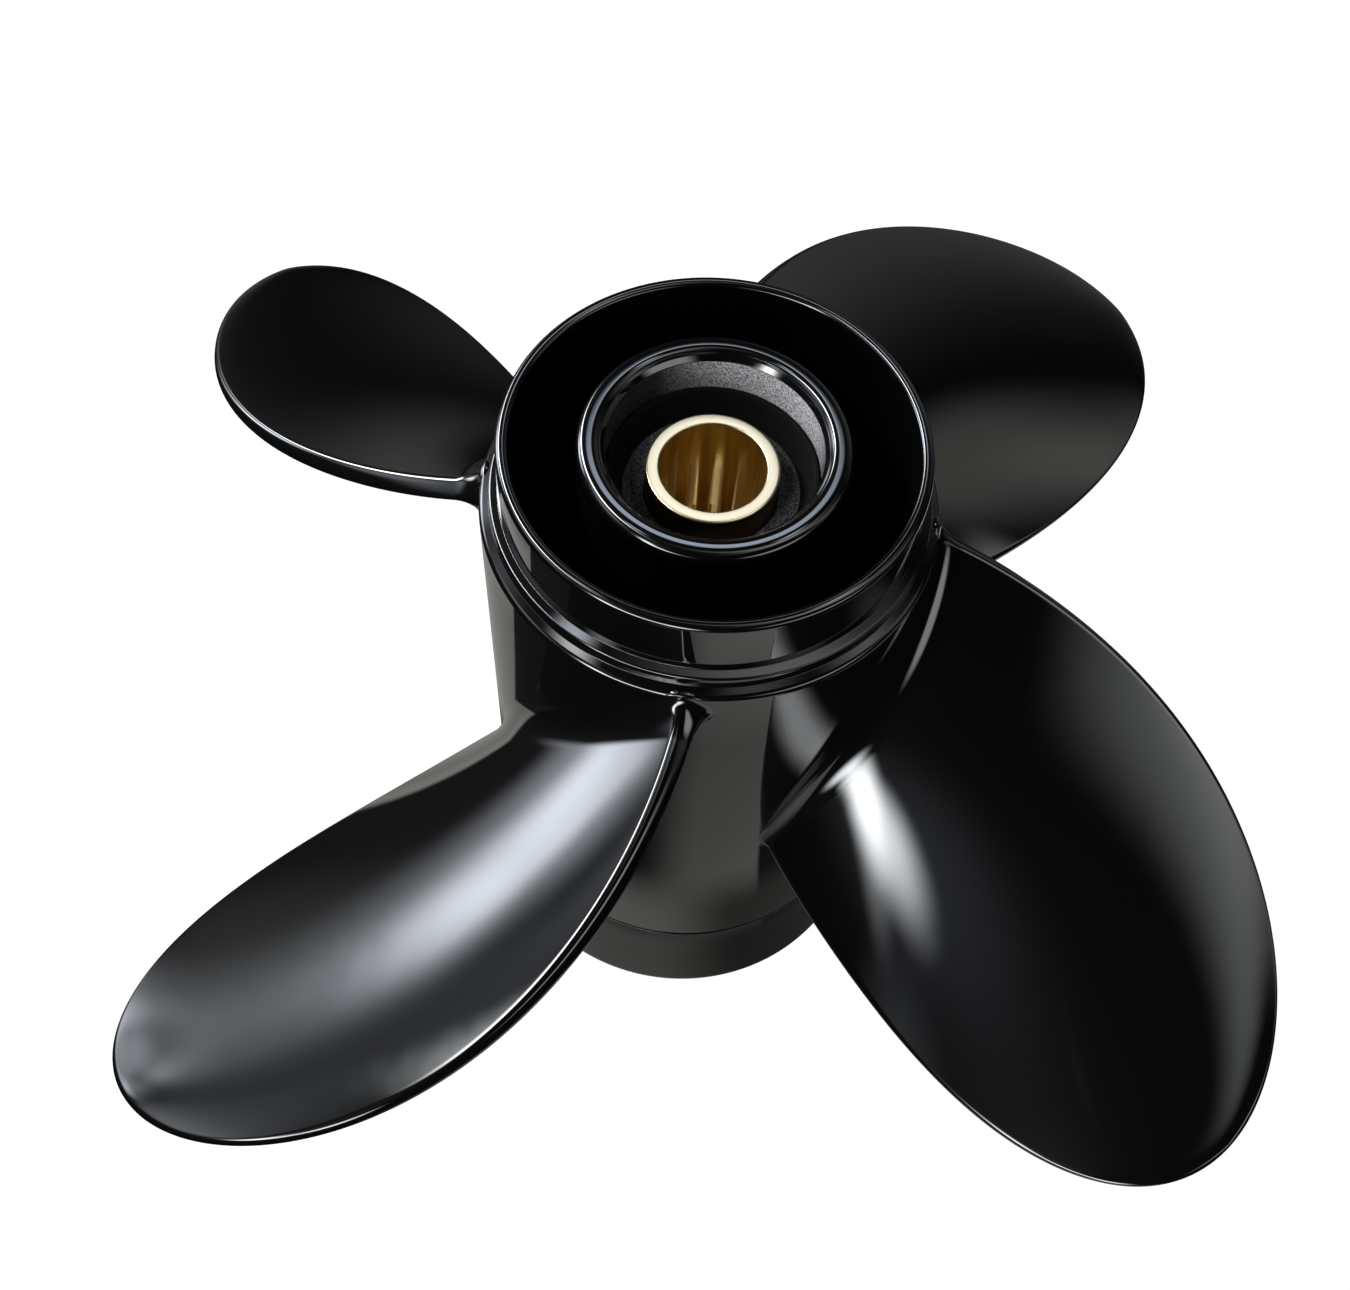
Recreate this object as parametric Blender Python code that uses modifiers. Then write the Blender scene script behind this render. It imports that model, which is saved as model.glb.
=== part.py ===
"""Four-blade outboard propeller whose hub lets the engine's exhaust out through its middle.

Metres, +Z up. The propeller stands on the aft end of its hub, as on a bench. The origin is the
centre of that end, and +Z runs along the shaft's axis to the front end, which meets the gearcase.
"""

import math

import bmesh
import bpy
import numpy as np
from mathutils import Matrix

# Outer hub, from the aft end (height 0) to the lip of the front collar.
HUB_LENGTH = 0.1577
COLLAR_RADIUS = 0.0400
COLLAR_BORE_RADIUS = 0.0376
COLLAR_HEIGHT = 0.0136
COLLAR_RELIEF = 0.0003
SHOULDER_RADIUS = 0.0418
SHOULDER_HEIGHT = 0.0042
SHOULDER_SLOPE = 0.0006
SHOULDER_BEAD = 0.0006
SHOULDER_NECK_RADIUS = 0.0412
SHOULDER_NECK_DEPTH = 0.0032
BARREL_FRONT_RADIUS = 0.0438
BARREL_AFT_RADIUS = 0.0430
BARREL_WALL = 0.0048
BARREL_CORNER = 0.0016
SEAM_CORNER = 0.0004
AFT_RING_HEIGHT = 0.0255
AFT_RING_RADIUS = 0.0452
AFT_RING_WALL = 0.0042
AFT_RING_CORNER = 0.0018

# Inner hub, its rubber bush and its brass sleeve. Depths are below the front end.
INNER_HUB_RADIUS = 0.0256
INNER_HUB_RELIEF = 0.0006
INNER_HUB_MOUTH_RADIUS = 0.0213
INNER_HUB_MOUTH_DEPTH = 0.0024
INNER_HUB_BORE_RADIUS = 0.0202
INNER_HUB_BORE_DEPTH = 0.0030
INNER_HUB_AFT_HEIGHT = 0.0240
BUSH_DEPTH = 0.0090
BUSH_RIM = 0.0015
BUSH_FLOOR_DEPTH = 0.0150
BUSH_FLOOR_RADIUS = 0.0167
BUSH_AFT_HEIGHT = 0.0440
SLEEVE_RADIUS = 0.0126
SLEEVE_BORE_RADIUS = 0.0101
SLEEVE_BEVEL = 0.0004
SLEEVE_DEPTH = 0.0080
SLEEVE_AFT_HEIGHT = 0.0360
SPLINE_COUNT = 13
SPLINE_DEPTH = 0.0012
SPLINE_WIDTH = 0.0018
SPLINE_START_DEPTH = 0.0340
SPLINE_RUN = 0.0500
RIB_COUNT = 4
RIB_THICKNESS = 0.0052
RIB_CORNER = 0.0012
RIB_FRONT_DEPTH = 0.0380
RIB_LENGTH = 0.0900

# Blades. A part of the span runs from 0 at the barrel to 1 at the tip; angles are in degrees.
BLADE_COUNT = 4
TIP_RADIUS = 0.1463
ROOT_MID_ANGLE = -32.6
SKEW_ANGLE = -10.1
SKEW_POWER = 1.4
ROOT_MID_HEIGHT = 0.1040
RAKE_DROP = 0.0218
RAKE_POWER = 0.88
CHORD_MAX = 0.0900
CHORD_BEND = 0.0380
CHORD_PEAK = 0.50
TIP_SQUARENESS = 4.1
PITCH_ROOT = 0.360
PITCH_MIDDLE = 0.382
PITCH_TIP = 0.350
CAMBER = 0.034
ROOT_THICKNESS = 0.0084
TIP_THICKNESS = 0.0040
THIN_CHORD = 0.0540
ROOT_EDGE = 0.0046
TIP_EDGE = 0.0022
EDGE_ROUND = 0.0016
EDGE_POWER = 2.6
FILLET_MIDDLE = 0.0080
FILLET_EDGE = 0.0020

GAP = 0.0003
ROUND = 72
SLEEVE_ROUND = 52
SHARP_ANGLE = 35


def clear_scene():
    for thing in list(bpy.data.objects):
        bpy.data.objects.remove(thing, do_unlink=True)


def new_collection(name):
    collection = bpy.data.collections.new(name)
    bpy.context.scene.collection.children.link(collection)
    return collection


def finish(name, colour, roughness, metallic):
    material = bpy.data.materials.new(name)
    material.use_nodes = True
    shader = material.node_tree.nodes["Principled BSDF"]
    shader.inputs["Base Color"].default_value = (*colour, 1)
    shader.inputs["Roughness"].default_value = roughness
    shader.inputs["Metallic"].default_value = metallic
    return material


def add_object(name, mesh, material, collection):
    mesh.materials.clear()
    mesh.materials.append(material)
    thing = bpy.data.objects.new(name, mesh)
    collection.objects.link(thing)
    return thing


def shade_round(mesh):
    mesh.shade_smooth()
    mesh.set_sharp_from_angle(angle=math.radians(SHARP_ANGLE))


def arc(radius, height, bend, start, end, steps=4):
    """Points of a round corner in the (radius, height) plane; the angles are degrees from outward."""
    turns = [math.radians(start + (end - start) * i / steps) for i in range(steps + 1)]
    return [(radius + bend * math.cos(t), height + bend * math.sin(t)) for t in turns]


def turned(name, outline, material, collection, steps=ROUND):
    """A closed outline, down its outer side and back up its inner side, turned about the shaft's axis."""
    count = len(outline)
    profile = bpy.data.meshes.new(name + "_profile")
    profile.from_pydata([(r, 0, z) for r, z in outline], [(i, (i + 1) % count) for i in range(count)], [])
    thing = add_object(name, profile, material, collection)
    screw = thing.modifiers.new("turn", "SCREW")
    screw.axis = "Z"
    screw.angle = math.tau
    screw.steps = steps
    screw.render_steps = steps
    screw.use_merge_vertices = True
    screw.merge_threshold = 0.00001
    depsgraph = bpy.context.evaluated_depsgraph_get()
    solid = bpy.data.meshes.new_from_object(thing.evaluated_get(depsgraph))
    thing.modifiers.clear()
    thing.data = solid
    bpy.data.meshes.remove(profile)
    solid.name = name
    shade_round(solid)
    return thing


def front_collar(material, collection):
    """Spigot that enters the gearcase's exhaust outlet, with a full round lip."""
    lip = 0.5 * (COLLAR_RADIUS - COLLAR_BORE_RADIUS)
    middle = COLLAR_BORE_RADIUS + lip
    crest = HUB_LENGTH - lip
    wall = COLLAR_RADIUS - COLLAR_RELIEF
    foot = HUB_LENGTH - COLLAR_HEIGHT + GAP
    outline = arc(middle, crest, lip, 90, 0)
    outline += [(wall, crest - lip), (wall, foot), (COLLAR_BORE_RADIUS, foot)]
    outline += arc(middle, crest, lip, 180, 90)[:-1]
    return turned("front_collar", outline, material, collection)


def shoulder_ring(material, collection):
    """Bead that the gearcase's rim stops at, over a neck, between the collar and the barrel."""
    top = HUB_LENGTH - COLLAR_HEIGHT
    foot = top - SHOULDER_HEIGHT + GAP
    bead = SHOULDER_BEAD
    outline = [(COLLAR_RADIUS, top)]
    outline += arc(SHOULDER_RADIUS - bead, top - SHOULDER_SLOPE - bead, bead, 80, -60, 6)
    outline += [(SHOULDER_NECK_RADIUS, top - SHOULDER_NECK_DEPTH), (SHOULDER_NECK_RADIUS, foot)]
    outline += [(COLLAR_BORE_RADIUS, foot), (COLLAR_BORE_RADIUS, top)]
    return turned("shoulder_ring", outline, material, collection)


def hub_barrel(material, collection):
    """Outer tube of the hub, which carries the blades and narrows slightly towards the seam."""
    top = HUB_LENGTH - COLLAR_HEIGHT - SHOULDER_HEIGHT
    foot = AFT_RING_HEIGHT + GAP
    corner = BARREL_CORNER
    seam = SEAM_CORNER
    outline = [(COLLAR_BORE_RADIUS, top)]
    outline += arc(BARREL_FRONT_RADIUS - corner, top - corner, corner, 90, 0)
    outline += arc(BARREL_AFT_RADIUS - seam, foot + seam, seam, 0, -90, 2)
    outline += [(BARREL_AFT_RADIUS - BARREL_WALL, foot)]
    return turned("hub_barrel", outline, material, collection)


def aft_ring(material, collection):
    """Ring behind the seam, a little wider at its open end, which the propeller stands on."""
    top = AFT_RING_HEIGHT
    seam = SEAM_CORNER
    corner = AFT_RING_CORNER
    outline = arc(BARREL_AFT_RADIUS - seam, top - seam, seam, 90, 0, 2)
    outline += arc(AFT_RING_RADIUS - corner, corner, corner, 0, -90)
    outline += [(AFT_RING_RADIUS - AFT_RING_WALL, 0), (BARREL_AFT_RADIUS - BARREL_WALL, top)]
    return turned("aft_ring", outline, material, collection)


def inner_hub(material, collection):
    """Tube in the middle of the exhaust passage, with a rolled front lip, which holds the bush."""
    lip = 0.5 * (INNER_HUB_RADIUS - INNER_HUB_MOUTH_RADIUS)
    middle = INNER_HUB_MOUTH_RADIUS + lip
    crest = HUB_LENGTH - lip
    outline = arc(middle, crest, lip, 90, 0)
    outline += [(INNER_HUB_RADIUS - INNER_HUB_RELIEF, INNER_HUB_AFT_HEIGHT)]
    outline += [(INNER_HUB_BORE_RADIUS, INNER_HUB_AFT_HEIGHT)]
    outline += [(INNER_HUB_BORE_RADIUS, HUB_LENGTH - INNER_HUB_BORE_DEPTH)]
    outline += [(INNER_HUB_MOUTH_RADIUS, HUB_LENGTH - INNER_HUB_MOUTH_DEPTH)]
    outline += arc(middle, crest, lip, 180, 90)[:-1]
    return turned("inner_hub", outline, material, collection)


def rubber_bush(material, collection):
    """Bonded rubber between the inner hub and the brass sleeve, hollowed round the sleeve."""
    outer = INNER_HUB_BORE_RADIUS - GAP
    inner = SLEEVE_RADIUS + GAP
    rim = HUB_LENGTH - BUSH_DEPTH
    floor = HUB_LENGTH - BUSH_FLOOR_DEPTH
    outline = [(outer, rim), (outer, BUSH_AFT_HEIGHT), (inner, BUSH_AFT_HEIGHT)]
    outline += [(inner, floor), (BUSH_FLOOR_RADIUS, floor), (outer - BUSH_RIM, rim)]
    return turned("rubber_bush", outline, material, collection)


def spline_cutter(material, collection):
    """Ring of bars that cut the spline grooves into the sleeve's bore, behind its smooth mouth."""
    reach = 2 * SPLINE_DEPTH
    middle = HUB_LENGTH - SPLINE_START_DEPTH - 0.5 * SPLINE_RUN
    place = Matrix.Translation((SLEEVE_BORE_RADIUS, 0, middle))
    size = Matrix.Diagonal((reach, SPLINE_WIDTH, SPLINE_RUN, 1))
    bars = bmesh.new()
    for tooth in range(SPLINE_COUNT):
        turn = Matrix.Rotation(math.tau * tooth / SPLINE_COUNT, 4, "Z")
        bmesh.ops.create_cube(bars, size=1, matrix=turn @ place @ size)
    mesh = bpy.data.meshes.new("spline_cutter")
    bars.to_mesh(mesh)
    bars.free()
    cutter = add_object("spline_cutter", mesh, material, collection)
    cutter.hide_render = True
    cutter.display_type = "WIRE"
    return cutter


def brass_sleeve(material, collection, cutter):
    """Sleeve that slides on the propeller shaft: a smooth mouth, then splines."""
    top = HUB_LENGTH - SLEEVE_DEPTH
    foot = SLEEVE_AFT_HEIGHT
    bevel = SLEEVE_BEVEL
    outline = [(SLEEVE_RADIUS - bevel, top), (SLEEVE_RADIUS, top - bevel), (SLEEVE_RADIUS, foot)]
    outline += [(SLEEVE_BORE_RADIUS, foot), (SLEEVE_BORE_RADIUS, top - bevel)]
    outline += [(SLEEVE_BORE_RADIUS + bevel, top)]
    sleeve = turned("brass_sleeve", outline, material, collection, SLEEVE_ROUND)
    cut = sleeve.modifiers.new("splines", "BOOLEAN")
    cut.operation = "DIFFERENCE"
    cut.solver = "EXACT"
    cut.object = cutter
    return sleeve


def rib(index, material, collection):
    """Web across the exhaust passage that carries the inner hub, with rounded edges."""
    inner = INNER_HUB_RADIUS + GAP
    outer = BARREL_AFT_RADIUS - BARREL_WALL - 2 * GAP
    middle = HUB_LENGTH - RIB_FRONT_DEPTH - 0.5 * RIB_LENGTH
    place = Matrix.Translation((0.5 * (inner + outer), 0, middle))
    size = Matrix.Diagonal((outer - inner, RIB_THICKNESS, RIB_LENGTH, 1))
    block = bmesh.new()
    bmesh.ops.create_cube(block, size=1, matrix=place @ size)
    mesh = bpy.data.meshes.new(f"rib_{index + 1}")
    block.to_mesh(mesh)
    block.free()
    web = add_object(f"rib_{index + 1}", mesh, material, collection)
    web.rotation_euler.z = math.tau * (index + 0.5) / RIB_COUNT
    corners = web.modifiers.new("corners", "BEVEL")
    corners.width = RIB_CORNER
    corners.segments = 2
    return web


def between(start, middle, end, part):
    """The parabola through three values at parts 0, 1/2 and 1."""
    bend = start * (1 - part) * (1 - 2 * part) + middle * 4 * part * (1 - part)
    return bend + end * part * (2 * part - 1)


def span_radius(part):
    base = BARREL_FRONT_RADIUS + GAP
    return base + part * (TIP_RADIUS - base)


def chord_and_lean(part):
    """Chord at this part of the span, and how far each edge leans inward for a step outward."""
    width = CHORD_MAX - CHORD_BEND * (part - CHORD_PEAK) ** 2
    closing = math.sqrt(1 - part**TIP_SQUARENESS)
    narrowing = 2 * CHORD_BEND * (part - CHORD_PEAK) * closing
    narrowing += width * TIP_SQUARENESS * part ** (TIP_SQUARENESS - 1) / (2 * closing)
    return width * closing, 0.5 * narrowing / (span_radius(1) - span_radius(0))


def flat_section(part, turns):
    """One blade section laid flat: x from the high edge to the low edge, y towards the front.

    The outline runs along the back, then returns along the pressure face. The camber line and
    the thickness are parabolas. Within EDGE_ROUND of the blade's rim, at the sides and at the
    tip, the thickness closes along a superellipse. Near the barrel the outline swells by a round
    fillet, wide in the middle of the chord and narrow at both edges.
    """
    chord, lean = chord_and_lean(part)
    x = -0.5 * chord * np.cos(turns)
    bulge = np.sin(turns) ** 2
    inset = (0.5 * chord - np.abs(x)) / math.hypot(1, lean)
    closed = (1 - np.clip(inset / EDGE_ROUND, 0, 1)) ** EDGE_POWER
    rim = (1 - closed) ** (1 / EDGE_POWER)
    edge = ROOT_EDGE + (TIP_EDGE - ROOT_EDGE) * part
    thickness = ROOT_THICKNESS + (TIP_THICKNESS - ROOT_THICKNESS) * part
    crown = (thickness - edge) * min(1, chord / THIN_CHORD)
    half = 0.5 * rim * (edge + crown * bulge)
    line = CAMBER * chord * bulge
    back = np.stack([x, line + half], 1)
    face = np.stack([x, line - half], 1)[-2:0:-1]
    loop = np.concatenate([back, face])
    along = np.roll(loop, -1, 0) - np.roll(loop, 1, 0)
    outward = np.stack([-along[:, 1], along[:, 0]], 1)
    outward /= np.linalg.norm(outward, axis=1)[:, None]
    bend = FILLET_EDGE + (FILLET_MIDDLE - FILLET_EDGE) * np.concatenate([bulge, bulge[-2:0:-1]])
    short = bend - np.minimum(span_radius(part) - span_radius(0), bend)
    swell = bend - np.sqrt(bend**2 - short**2)
    return loop + swell[:, None] * outward


def wrapped(flat, part):
    """Flat section points laid on their cylinder round the shaft, along the pitch helix."""
    radius = span_radius(part)
    pitch = between(PITCH_ROOT, PITCH_MIDDLE, PITCH_TIP, part)
    slope = math.atan2(pitch, math.tau * radius)
    middle = math.radians(ROOT_MID_ANGLE + SKEW_ANGLE * part**SKEW_POWER)
    height = ROOT_MID_HEIGHT - RAKE_DROP * part**RAKE_POWER
    turn = middle - (flat[:, 0] * math.cos(slope) + flat[:, 1] * math.sin(slope)) / radius
    z = height - flat[:, 0] * math.sin(slope) + flat[:, 1] * math.cos(slope)
    return np.stack([radius * np.cos(turn), radius * np.sin(turn), z], 1)


def end_cap(outline, first, start, part, rows):
    """Points and faces that close one end of the blade, in rows across its thickness."""
    half = len(outline) // 2
    other = [(len(outline) - i) % len(outline) for i in range(half + 1)]
    inside = []
    index = {(i, 0): first + i for i in range(half + 1)}
    index.update({(i, rows): first + other[i] for i in range(half + 1)})
    for row in range(1, rows):
        index[(0, row)] = first
        index[(half, row)] = first + half
        for i in range(1, half):
            index[(i, row)] = start + len(inside)
            inside.append(outline[i] + (outline[other[i]] - outline[i]) * row / rows)
    faces = []
    for row in range(rows):
        for i in range(half):
            corners = ((i, row), (i + 1, row), (i + 1, row + 1), (i, row + 1))
            faces.append(tuple(dict.fromkeys(index[corner] for corner in corners)))
    return wrapped(np.array(inside), part), faces


def blade(index, material, collection):
    """Loft through the wrapped sections, close together at the fillet and at the tip's rim."""
    rim = np.array([0, 5, 9, 14])
    turns = np.radians(np.concatenate([rim, np.linspace(26, 154, 11), 180 - rim[::-1]]))
    near_barrel = [0, 0.006, 0.018, 0.04, 0.078]
    near_tip = [0.9, 0.945, 0.975, 0.99, 0.997, 0.9995]
    parts = near_barrel + list(np.linspace(0.16, 0.84, 9)) + near_tip
    outlines = [flat_section(part, turns) for part in parts]
    sections = [wrapped(outline, part) for outline, part in zip(outlines, parts)]
    count = len(outlines[0])
    faces = []
    for row in range(len(parts) - 1):
        for i in range(count):
            a = row * count + i
            b = row * count + (i + 1) % count
            faces.append((a, b, b + count, a + count))
    last = (len(parts) - 1) * count
    total = len(parts) * count
    root_points, root_faces = end_cap(outlines[0], 0, total, parts[0], 4)
    total += len(root_points)
    tip_points, tip_faces = end_cap(outlines[-1], last, total, parts[-1], 2)
    faces += [tuple(reversed(face)) for face in root_faces] + tip_faces
    points = np.concatenate(sections + [root_points, tip_points])
    mesh = bpy.data.meshes.new(f"blade_{index + 1}")
    mesh.from_pydata(points.tolist(), [], faces)
    shade_round(mesh)
    thing = add_object(f"blade_{index + 1}", mesh, material, collection)
    thing.rotation_euler.z = math.tau * index / BLADE_COUNT
    return thing


def main():
    clear_scene()
    parts = new_collection("outboard_propeller")
    cutters = new_collection("cutters")
    paint = finish("gloss black paint", (0.008, 0.008, 0.009), 0.12, 0.0)
    rubber = finish("black rubber", (0.012, 0.012, 0.012), 0.6, 0.0)
    brass = finish("brass", (0.72, 0.52, 0.22), 0.25, 1.0)
    front_collar(paint, parts)
    shoulder_ring(paint, parts)
    hub_barrel(paint, parts)
    aft_ring(paint, parts)
    inner_hub(paint, parts)
    for index in range(RIB_COUNT):
        rib(index, paint, parts)
    for index in range(BLADE_COUNT):
        blade(index, paint, parts)
    rubber_bush(rubber, parts)
    cutter = spline_cutter(brass, cutters)
    brass_sleeve(brass, parts, cutter)


main()
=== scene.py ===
"""Looks of a four-blade outboard propeller, standing on the aft end of its hub.

Metres, +Z along the shaft's axis towards the front end. Every part is a surface worked out with
numpy inside the space that the CAD gives it.
"""

import math

import bpy
import numpy as np
from mathutils import Matrix, Vector


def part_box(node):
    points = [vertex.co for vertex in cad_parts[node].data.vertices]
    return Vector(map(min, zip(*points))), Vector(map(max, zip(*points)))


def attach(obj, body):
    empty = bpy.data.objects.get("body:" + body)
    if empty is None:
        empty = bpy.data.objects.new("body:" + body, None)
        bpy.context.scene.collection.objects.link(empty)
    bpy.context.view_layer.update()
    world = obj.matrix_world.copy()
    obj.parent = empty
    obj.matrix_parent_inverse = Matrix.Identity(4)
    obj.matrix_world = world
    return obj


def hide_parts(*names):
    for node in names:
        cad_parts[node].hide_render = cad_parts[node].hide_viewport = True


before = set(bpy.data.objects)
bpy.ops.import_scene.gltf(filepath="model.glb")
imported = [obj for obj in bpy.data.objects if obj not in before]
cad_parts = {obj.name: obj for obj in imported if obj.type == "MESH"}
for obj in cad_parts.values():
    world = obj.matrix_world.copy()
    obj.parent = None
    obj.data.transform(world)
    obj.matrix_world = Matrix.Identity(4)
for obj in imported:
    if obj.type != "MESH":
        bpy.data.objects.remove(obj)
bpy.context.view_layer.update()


# Camera
# The view leans 31 degrees off the shaft's axis, from close by, as found from the hub's circles
# and the four blades' outlines in the picture.
view_lean = math.radians(30.77)
view_roll = math.radians(-4.59)
camera_place = (-0.0044, -0.1943, 0.4108)
focal_length_mm = 46.69
sensor_width_mm = 36.0

backward = np.array([0, -math.sin(view_lean), math.cos(view_lean)])
level = np.array([1.0, 0, 0])
upright = np.cross(backward, level)
rightward = math.cos(view_roll) * level - math.sin(view_roll) * upright
upward = math.sin(view_roll) * level + math.cos(view_roll) * upright
stand = np.eye(4)
stand[:3, :3] = np.stack([rightward, upward, backward], 1)
stand[:3, 3] = camera_place

lens = bpy.data.cameras.new("camera")
lens.lens = focal_length_mm
lens.sensor_width = sensor_width_mm
lens.clip_end = 50
camera = bpy.data.objects.new("camera", lens)
bpy.context.scene.collection.objects.link(camera)
camera.matrix_world = Matrix(stand.tolist())
bpy.context.scene.camera = camera
bpy.context.scene.view_settings.view_transform = "Standard"


# Floor
# A plain white sheet, large enough to run past the horizon of a low view. It glows for the camera,
# so it looks evenly lit. What the paint mirrors is only a lit patch of it, with dark studio beyond.
floor_half = 12.0
sheet_white = (0.99, 0.99, 0.975, 1)
patch_middle = (0.05, -0.03, 0)
patch_inner, patch_outer = 0.188, 0.205
# Painted shade: how the patch's glow brightens away from the hub, standing in for the hub's shadow: distance
# from the axis and glow.
# In front it is clear of the blades' painted shadow only in the gap between two of them; behind, all of it
# is.
# Close to the hub's foot the painted light comes in from the left, and a painted pool of light lies under
# the bore.
patch_glow = (
    (0.0, 0.9), (0.014, 0.9), (0.018, 0.40), (0.058, 0.36), (0.072, 0.34), (0.110, 0.39), (0.160, 0.95)
)
gap_from, gap_to = math.radians(-80), math.radians(-55)
foot_from, foot_to = math.radians(-128), math.radians(-98)


def wired(tree, kind, **settings):
    """A new node with its settings; in_N is input socket N, given a value or another node's output."""
    node = tree.nodes.new(kind)
    for name, value in settings.items():
        if name.startswith("in_"):
            socket = node.inputs[int(name[3:])]
            if isinstance(value, bpy.types.NodeSocket):
                tree.links.new(value, socket)
            else:
                socket.default_value = value
        else:
            setattr(node, name, value)
    return node


def between(tree, value, low, high, ease):
    """One where the value lies between low and high, eased to nothing over the ease at both ends."""
    rise = wired(
        tree, "ShaderNodeMapRange", interpolation_type="SMOOTHSTEP", in_0=value, in_1=low - ease, in_2=low
    )
    fall = wired(
        tree, "ShaderNodeMapRange", interpolation_type="SMOOTHSTEP", in_0=value, in_1=high + ease, in_2=high
    )
    both = wired(tree, "ShaderNodeMath", operation="MULTIPLY", in_0=rise.outputs[0], in_1=fall.outputs[0])
    return both.outputs[0]


corner_signs = ((-1, -1), (1, -1), (1, 1), (-1, 1))
floor_mesh = bpy.data.meshes.new("floor")
floor_mesh.from_pydata([(floor_half * x, floor_half * y, 0) for x, y in corner_signs], [], [(0, 1, 2, 3)])
floor = bpy.data.objects.new("floor", floor_mesh)
bpy.context.scene.collection.objects.link(floor)

paper = bpy.data.materials.new("white paper")
paper.use_nodes = True
wires = paper.node_tree
sheet_shader = wires.nodes["Principled BSDF"]
sheet_shader.inputs["Base Color"].default_value = (0.05, 0.05, 0.05, 1)
sheet_shader.inputs["Roughness"].default_value = 1.0
sheet_shader.inputs["Specular IOR Level"].default_value = 0.0
sheet_shader.inputs["Emission Color"].default_value = sheet_white
sheet_shader.inputs["Emission Strength"].default_value = 1.0
spot = wired(wires, "ShaderNodeTexCoord").outputs["Object"]
aside = wired(wires, "ShaderNodeVectorMath", operation="DISTANCE", in_0=spot, in_1=patch_middle)
beyond = wired(
    wires, "ShaderNodeMapRange", interpolation_type="SMOOTHSTEP",
    in_0=aside.outputs["Value"], in_1=patch_inner, in_2=patch_outer,
).outputs[0]
off_axis = wired(wires, "ShaderNodeVectorMath", operation="LENGTH", in_0=spot).outputs["Value"]
share = wired(wires, "ShaderNodeMath", operation="DIVIDE", in_0=off_axis, in_1=patch_glow[-1][0])
glow = wired(wires, "ShaderNodeValToRGB", in_0=share.outputs[0])
while len(glow.color_ramp.elements) < len(patch_glow):
    glow.color_ramp.elements.new(1.0)
for stop, (distance, level) in zip(glow.color_ramp.elements, patch_glow):
    stop.position = distance / patch_glow[-1][0]
    stop.color = (level, level, 0.94 * level, 1)
# Painted shade: the bearing and distance masks below darken the glowing patch where the hub and blades would
# shadow it, and keep it bright under the bore.
flat = wired(wires, "ShaderNodeSeparateXYZ", in_0=spot)
bearing = wired(wires, "ShaderNodeMath", operation="ARCTAN2", in_0=flat.outputs["Y"], in_1=flat.outputs["X"])
opening = between(wires, bearing.outputs[0], gap_from, 9.0, 0.50)
closing = between(wires, bearing.outputs[0], -9.0, gap_to, 0.04)
gap = wired(wires, "ShaderNodeMath", operation="MULTIPLY", in_0=opening, in_1=closing).outputs[0]
behind = between(wires, flat.outputs["Y"], 0.006, 9.0, 0.004)
under_bore = between(wires, off_axis, -1.0, 0.016, 0.001)
at_foot = between(wires, off_axis, -1.0, 0.054, 0.014)
from_left = between(wires, bearing.outputs[0], foot_from, foot_to, 0.60)
foot = wired(wires, "ShaderNodeMath", operation="MULTIPLY_ADD", in_0=from_left, in_1=0.8, in_2=0.2)
foot = foot.outputs[0]
clear = wired(wires, "ShaderNodeMath", operation="MAXIMUM", in_0=gap, in_1=behind).outputs[0]
clear = wired(wires, "ShaderNodeMix", in_0=at_foot, in_2=clear, in_3=foot).outputs[0]
clear = wired(wires, "ShaderNodeMath", operation="MAXIMUM", in_0=clear, in_1=under_bore).outputs[0]
clear = wired(wires, "ShaderNodeMath", operation="MAXIMUM", in_0=clear, in_1=0.05).outputs[0]
lit_patch = wired(wires, "ShaderNodeEmission", in_0=glow.outputs[0], in_1=clear).outputs[0]
nothing = wired(wires, "ShaderNodeBsdfTransparent").outputs[0]
mirrored = wired(wires, "ShaderNodeMixShader", in_0=beyond, in_1=lit_patch, in_2=nothing).outputs[0]
seen = wired(wires, "ShaderNodeLightPath").outputs["Is Camera Ray"]
both = wired(wires, "ShaderNodeMixShader", in_0=seen, in_1=mirrored, in_2=sheet_shader.outputs[0]).outputs[0]
wires.links.new(both, wires.nodes["Material Output"].inputs["Surface"])
floor_mesh.materials.append(paper)


# Studio light
# Soft panels in a dark room, drawn on the world's sphere. Only the camera sees the room as pale.
room_dark = (0.003, 0.003, 0.003)
room_pale = (0.99, 0.99, 0.975)
# Each panel: azimuth and elevation in degrees, half width and half height in degrees, how far it
# is tilted, softness of its edge as a share, strength and colour.
cool, neutral, warm = (0.90, 0.95, 1.04), (0.97, 1.0, 1.02), (1.0, 1.0, 0.96)
panels = (
    (149, 15, 4, 15.9, -30, 1.0, 4.3, cool),
    (155, 9, 13.9, 20.3, -38, 0.8, 9.8, cool),
    (149, 5, 14.8, 33.5, -12, 1.0, 4.1, cool),
    (188, 26, 36, 17.5, -13, 1.0, 2.5, cool),
    (157, 38, 59, 6.7, 38, 0.8, 50, neutral),
    (229, 14, 10, 15.8, 18, 1.0, 17, neutral),
    (230, 21, 19, 37, -12, 1.0, 0.4, cool),
    (261, -5, 17.8, 11.7, -48, 1.0, 19, neutral),
    (241, 6, 30.5, 8.8, -21, 1.0, 24, neutral),
    (343, 58, 47, 10.5, -20, 1.0, 2.1, neutral),
    (-17, 61, 58, 14, -68, 1.0, 2.4, warm),
    (0, 18, 18.6, 25.9, 0, 0.8, 0.74, warm),
    (56, 10, 49, 46, -90, 1.0, 0.34, warm),
    (122, -3, 60, 17, 39, 1.0, 0.3, warm),
    (90, 56, 16, 8, 0, 1.0, 8.0, (0.80, 0.92, 1.12)),
    (188, 64, 8, 8, 0, 1.0, 10.0, cool),
    (20, 66, 10, 8, 0, 1.0, 8.0, neutral),
    (-42, 12, 33, 10, 0, 0.6, 4.0, warm),
)
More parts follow.
